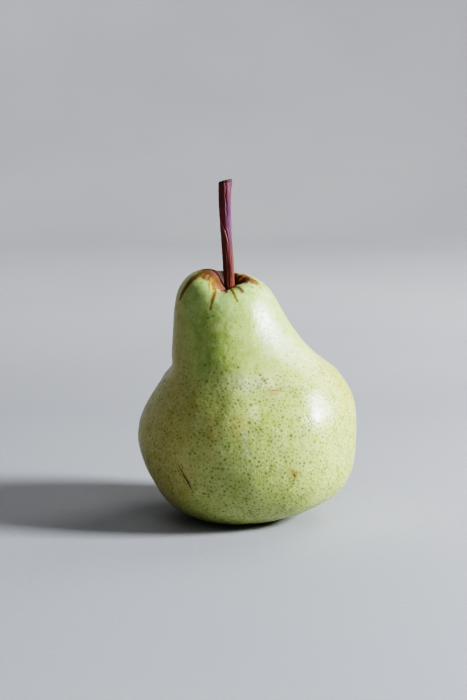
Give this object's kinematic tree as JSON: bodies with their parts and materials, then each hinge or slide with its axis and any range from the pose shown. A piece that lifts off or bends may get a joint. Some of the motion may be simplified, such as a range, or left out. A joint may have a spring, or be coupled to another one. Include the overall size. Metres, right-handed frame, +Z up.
{
  "type": "pear",
  "caption": "Whole fresh table pear standing on its calyx end, with a lopsided neck, russeted stem cavity and woody stem.",
  "frame": {"origin": "on the resting plane, at the middle of the part's footprint", "axes": "+Z up from the calyx end to the stem; the neck leans towards -X; -Y is the side with the notch in front of the stem"},
  "size_m": [0.0757, 0.0724, 0.1171],
  "materials": {
    "pear_skin": "satin",
    "stem_bark": "satin",
    "dried_calyx": "matte",
    "dried_stamens": "matte"
  },
  "bodies": {
    "root": {"fruit": "pear_skin", "stem": "stem_bark", "sepal_1": "dried_calyx", "sepal_2": "dried_calyx", "sepal_3": "dried_calyx", "sepal_4": "dried_calyx", "sepal_5": "dried_calyx", "stamen_tuft": "dried_stamens"}
  },
  "joints": []
}
